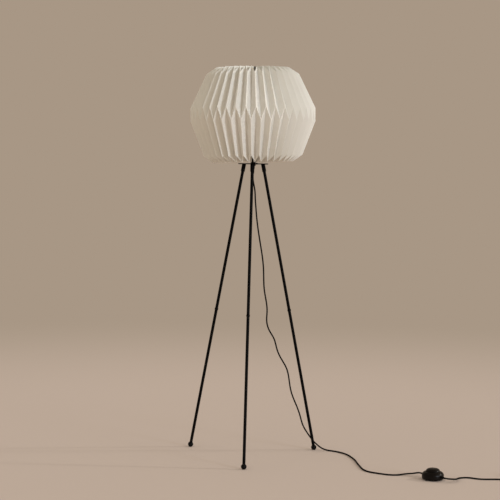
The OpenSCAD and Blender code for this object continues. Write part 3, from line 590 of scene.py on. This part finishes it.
def steatite():
    """Unglazed cream ceramic with fine dark specks."""
    s = Surface("steatite_ceramic", Specular_IOR_Level=0.4)
    speck = s.step(s.noise(1500, 2), 0.66, 0.74)
    cloud = s.noise(80, 3)
    body = s.mix(cloud, (0.74, 0.70, 0.62), (0.82, 0.79, 0.72))
    s.set(Base_Color=s.mix(speck * 0.3, body, (0.3, 0.25, 0.2)),
          Roughness=0.62 + 0.15 * cloud, Normal=s.bump(s.noise(1200, 3), 0.00006, 0.4))
    return s.owner


def metal(name, dark, light, roughness):
    """A plated or stamped metal with a faint drawn grain along Z and uneven polish."""
    s = Surface(name, Metallic=1.0)
    grain = s.noise(1.0, 2, at=s.place((3000, 3000, 300)))
    cloud = s.noise(120, 3)
    s.set(Base_Color=s.mix(cloud, dark, light), Roughness=roughness + 0.18 * grain,
          Normal=s.bump(grain, 0.00003, 0.4))
    return s.owner


PIN_SLEEVE = 10


def pin_plating():
    """Nickel pins whose halves next to the plug's face are sleeved in black plastic."""
    s = Surface("sleeved_nickel")
    sleeve_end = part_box("plug_body")[1].y + PIN_SLEEVE * MM
    y = s.parts(s.place())[1]
    bare = y > sleeve_end
    grain = s.noise(1.0, 2, at=s.place((3000, 300, 3000)))
    s.set(Base_Color=s.mix(bare, (0.014, 0.014, 0.014), (0.68, 0.66, 0.62)), Metallic=bare,
          Roughness=0.45 - 0.2 * bare + 0.1 * grain, Normal=s.bump(grain, 0.00003, 0.4))
    return s.owner


def moulded_white():
    """Moulded white plastic, very slightly uneven."""
    s = Surface("moulded_white_plastic", Specular_IOR_Level=0.5)
    cloud = s.noise(45, 3)
    grain = s.noise(2200, 2)
    s.set(Base_Color=s.mix(cloud, (0.78, 0.77, 0.73), (0.85, 0.84, 0.81)), Roughness=0.4 + 0.12 * grain,
          Normal=s.bump(grain, 0.00005, 0.4))
    return s.owner


def opal():
    """Opal diffuser of the bulb: milky, with a soft gloss."""
    s = Surface("opal_diffuser", Subsurface_Weight=0.3, Subsurface_Scale=0.01, Specular_IOR_Level=0.5)
    cloud = s.noise(25, 2)
    s.set(Base_Color=s.mix(cloud, (0.86, 0.84, 0.79), (0.92, 0.90, 0.86)), Roughness=0.22 + 0.08 * cloud,
          Normal=s.bump(s.noise(500, 2), 0.00002, 0.3))
    return s.owner


PAPER_GLOW = 0.2


def shade_paper():
    """Heavy folded paper: clouded pulp, a felt of fibres, and creases painted a little paler, a painted
    highlight along the folds.
    """
    s = Surface("folded_paper", Specular_IOR_Level=0.2)
    pulp = s.noise(55, 4, 0.6)
    fibre = s.noise(1.0, 3, 0.6, at=s.place((1900, 1900, 500)))
    felt = s.noise(1500, 4, 0.65)
    crease = s.node("Attribute", {"attribute_name": "crease"}, output="Fac")
    tone = s.mix(pulp, (0.815, 0.800, 0.752), (0.855, 0.842, 0.800))
    tone = s.mix(0.25 * s.step(fibre, 0.6, 0.8), tone, (0.89, 0.88, 0.845))
    # Painted highlight: the folds and the corner rows are mixed towards a paler colour
    s.set(Base_Color=s.mix(0.45 * crease, tone, (0.90, 0.89, 0.86)),
          Roughness=0.78 + 0.12 * fibre - 0.12 * crease,
          Normal=s.bump(0.6 * felt + 0.4 * fibre, 0.00011, 0.55))
    glow = s.node("BsdfTranslucent", {}, {"Color": (0.86, 0.82, 0.72)})
    shown = s.node("MixShader", {}, {0: PAPER_GLOW, 1: Value(s, s.shader.outputs[0]), 2: glow})
    s.tree.links.new(shown.socket, s.tree.nodes["Material Output"].inputs["Surface"])
    return s.owner


# ---------------------------------------------------------------- folded shade
# Fold lines as radius and height above the plate in millimetres, from the upper collar's hole over the
# tips and the waist to the lower collar's hole; the folds take turns round the shade
PLEATS = 40
PLEAT_PHASE = 6.5
EVEN_FOLD = [[42, 354], [186, 354], [250, 219], [160, 5], [42, 5]]
ODD_FOLD = [[42, 383], [147, 380], [250, 167], [197, 30], [42, 34]]
PAPER_T = 0.3
# Half a fold's width, a facet's mean width, and the even steps between folds across and along a facet
FOLD_HALF = 0.7
FACET_WIDTH = 30.0
STEPS_ACROSS, STEPS_ALONG = 5, 11
SHADE_SHARP = 35
# How far a facet bows, and how much hand folding scatters that, the folds' turn, radius and height
BOW = 0.55
BOW_SCATTER = 0.3
TURN_SCATTER, RADIUS_SCATTER, HEIGHT_SCATTER = 0.05, 0.35, 0.30
SHADE_SEED = 7
LEAN = math.radians(1.0)
LOW_LEAN = math.radians(1.0)
LOW_LEAN_TOP = 160.0
LEAN_FROM, LEAN_FULL = 60.0, 140.0


def cuts(width, inner):
    """Shares of a facet's width at which it is cut: its fold, two narrow strips on each side of the fold
    that keep its shading crisp, and inner even steps between them."""
    edge = FOLD_HALF / width
    return np.concatenate([[0, edge], np.linspace(2 * edge, 1 - 2 * edge, inner), [1 - edge]])


def fold_lines(rng):
    """The fold lines as an array of folds by corners by XYZ, each set by hand a little off its place."""
    folds = 2 * PLEATS
    lines = np.array([EVEN_FOLD, ODD_FOLD] * PLEATS, float)
    corners = len(EVEN_FOLD)
    turn = PLEAT_PHASE + 180 / PLEATS * np.arange(folds) + rng.normal(0, TURN_SCATTER, folds)
    a = np.radians(turn)[:, None]
    r = lines[..., 0] + rng.normal(0, RADIUS_SCATTER, (folds, corners))
    z = lines[..., 1] + rng.normal(0, HEIGHT_SCATTER, (folds, corners))
    r[:, [0, -1]] = lines[:, [0, -1], 0]
    return leaned(np.stack([r * np.cos(a), r * np.sin(a), z], -1))


def leaned(points):
    """The points swung towards -X about the plate by an angle times a share that rises smoothly from 0 at
    the carrier's rings to 1 at the shade's shoulders: the paper hangs a little askew on its upright
    carrier. The angle is LEAN, and grows by LOW_LEAN towards the lower tips, which nothing holds."""
    x, y, z = np.moveaxis(points, -1, 0)
    share = smooth((np.hypot(x, y) - LEAN_FROM) / (LEAN_FULL - LEAN_FROM))
    a = share * (LEAN + LOW_LEAN * smooth(1 - z / LOW_LEAN_TOP))
    return np.stack([x * np.cos(a) - z * np.sin(a), y, z * np.cos(a) + x * np.sin(a)], -1)


def softened(grid, axis, at, around):
    """Rounds a fold: each point at the given places moves half way to the middle of its two neighbours."""
    low, high = np.roll(grid, 1, axis), np.roll(grid, -1, axis)
    mean = 0.5 * grid + 0.25 * (low + high)
    inside = at if around else at[1:-1]
    index = [slice(None)] * grid.ndim
    index[axis] = inside
    out = grid.copy()
    out[tuple(index)] = mean[tuple(index)]
    return out


def make_shade():
    """The pleated paper. Between two neighbouring folds A and B, the point (s, t) is
    (1 - t) A(s) + t B(s), bowed along the facet's normal by BOW * 4t(1 - t), with the folds rounded."""
    rng = np.random.default_rng(SHADE_SEED)
    folds = fold_lines(rng)
    t = cuts(FACET_WIDTH, STEPS_ACROSS)
    lengths = np.linalg.norm(np.diff(folds, axis=1), axis=2).mean(0)
    spans = len(lengths)
    s = np.concatenate([i + cuts(length, STEPS_ALONG) for i, length in enumerate(lengths)] + [[spans]])
    i = np.minimum(s.astype(int), spans - 1)
    share = (s - i)[None, :, None]
    stretched = folds[:, i] * (1 - share) + folds[:, i + 1] * share
    a, b = stretched[:, None], np.roll(stretched, -1, 0)[:, None]
    tt = t[None, :, None, None]
    flat = (1 - tt) * a + tt * b
    run = np.gradient(stretched, axis=1)[:, None]
    normal = unit(np.cross(b - a, run))
    sign = np.where(np.arange(2 * PLEATS) % 2, 1.0, -1.0)[:, None, None, None]
    slack = rng.normal(BOW, BOW_SCATTER, (2 * PLEATS, 1, 1, 1)) * sign
    along = np.sin(math.pi * (s % 1))[None, None, :, None]
    flat = flat + normal * slack * along * 4 * tt * (1 - tt)
    columns = 2 * PLEATS * len(t)
    grid = flat.reshape(columns, len(s), 3)
    fold_columns = np.arange(0, columns, len(t))
    corner_rows = np.flatnonzero(s == np.round(s))
    grid = softened(grid, 0, fold_columns, True)
    grid = softened(grid, 1, corner_rows, False)
    points = (grid * MM + AXIS + [0, 0, PLATE_TOP]).transpose(1, 0, 2).reshape(-1, 3)
    faces = quads(len(s), columns, True)[:, ::-1]
    shade = piece("folded_paper_shade", points, faces, sharp=SHADE_SHARP)
    # Mask of the folds and the corner rows, which the paper's finish paints paler as a highlight
    crease = np.zeros((len(s), columns))
    crease[:, fold_columns] = 1
    crease[corner_rows[1:-1]] = 1
    shade.data.attributes.new("crease", "FLOAT", "POINT").data.foreach_set("value", crease.ravel())
    wall = shade.modifiers.new("paper", "SOLIDIFY")
    wall.thickness = PAPER_T * MM
    wall.offset = -1
    wall.use_even_offset = True
    return shade


# ---------------------------------------------------------------- stage
FLOOR_COLOUR = (0.60, 0.505, 0.455)
FLOOR_FADE = (1.6, 5.5)
FLOOR_NEAR, FLOOR_REACH = 0.5, 60
FLOOR_RINGS, FLOOR_SPOKES = 24, 64
WALL_COLOUR = (0.391, 0.309, 0.235)
BOUNCE = (1.00, 0.80, 0.60)
FILL = (0.66, 0.60, 0.51)
# Each lamp: its power, the direction it shines from as turn from +X and height in degrees, its width in
# degrees, and its colour
LAMPS = {"window": (1.3, -41.0, 10.0, 13.0, (0.82, 0.90, 1.0)),
         "key": (0.8, 7.0, 28.0, 2.5, (1.0, 0.96, 0.88))}


def make_stage():
    """A pale floor that fades into an even backdrop, a wide lamp and a narrow one, and an even fill. Where it
    isn't looked at, the far floor sends back warm light as the walls of a room do."""
    rings = np.concatenate([[0.0], np.geomspace(FLOOR_NEAR, FLOOR_REACH, FLOOR_RINGS)])
    a = np.linspace(0, 2 * math.pi, FLOOR_SPOKES, endpoint=False)
    r, angle = np.meshgrid(rings, a, indexing="ij")
    points = np.stack([r * np.cos(angle), r * np.sin(angle), 0 * r], -1).reshape(-1, 3)
    mesh = bpy.data.meshes.new("studio_floor")
    mesh.from_pydata(points.tolist(), [], quads(len(rings), FLOOR_SPOKES, True).tolist())
    floor = bpy.data.objects.new("studio_floor", mesh)
    scene.collection.objects.link(floor)
    weld(floor)
    s = Surface("pale_floor", Base_Color=FLOOR_COLOUR, Roughness=0.85, Specular_IOR_Level=0.1)
    far = s.node("VectorMath", {"operation": "LENGTH"}, {0: s.place()}, "Value")
    backdrop = s.node("Emission", {}, {"Color": s.mix(s.looked_at(), BOUNCE, WALL_COLOUR)})
    near = Value(s, s.shader.outputs[0])
    blend = s.node("MixShader", {}, {0: s.step(far, *FLOOR_FADE), 1: near, 2: backdrop})
    s.tree.links.new(blend.socket, s.tree.nodes["Material Output"].inputs["Surface"])
    floor.data.materials.append(s.owner)

    world = bpy.data.worlds.new("studio")
    scene.world = world
    w = Finish(world)
    w.fill(w.tree.nodes["Background"].inputs["Color"], w.mix(w.looked_at(), FILL, WALL_COLOUR))

    for name, (power, turn, height, width, colour) in LAMPS.items():
        lamp = bpy.data.lights.new(name, "SUN")
        lamp.energy = power
        lamp.angle = math.radians(width)
        lamp.color = colour
        placed = bpy.data.objects.new(name, lamp)
        scene.collection.objects.link(placed)
        placed.rotation_euler = (math.radians(90 - height), 0, math.radians(90 + turn))
    scene.view_settings.view_transform = "Standard"


# ---------------------------------------------------------------- assembly
make_camera()
lamp_lead, lamp_path, mains_lead, mains_path = make_leads()
make_stage()

coat, zinc, plated = powder_coat(), bright_zinc(), black_zinc()
rubber, plastic, polished = foot_rubber(), black_plastic(), switch_plastic()
textile, tie_cloth, ceramic = braid(), hook_tape(), steatite()
brass = metal("stamped_brass", (0.62, 0.43, 0.16), (0.75, 0.56, 0.25), 0.28)
nickel = metal("nickel_plate", (0.60, 0.58, 0.54), (0.70, 0.68, 0.64), 0.22)
pins, white, milky, paper = pin_plating(), moulded_white(), opal(), shade_paper()

slot_finish = {"black_steel": coat, "zinc_steel": zinc, "foot_rubber": rubber, "black_plastic": plastic,
               "textile_lead": textile, "steatite": ceramic, "brass_contact": brass, "paper": paper,
               "nickel_plate": nickel, "white_plastic": white, "opal_diffuser": milky,
               "switch_plastic": polished, "hook_tape": tie_cloth}
own_finish = {"stem_tube": plated, "stem_nuts": plated, "stem_washers": plated, "plug_pins": pins}
for part in frame["record"]["subparts"]:
    finish = own_finish.get(part["node"], slot_finish[part["material_slot"]])
    frame["nodes"][part["node"]].material_slots[0].material = finish

SHEETS = ["paper_shade_%d" % k for k in range(1, 6)]
shade = make_shade()
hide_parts(*SHEETS)
shade.data.materials.append(paper)

for lead in (lamp_lead, mains_lead):
    lead.data.materials.append(textile)
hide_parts("lamp_lead")
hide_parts("mains_lead", "lead_coil", "lead_tail")

tie = make_tie()
tie.data.materials.append(tie_cloth)
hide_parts("coil_tie")
spring = make_spring()
spring.data.materials.append(zinc)
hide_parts("button_spring")
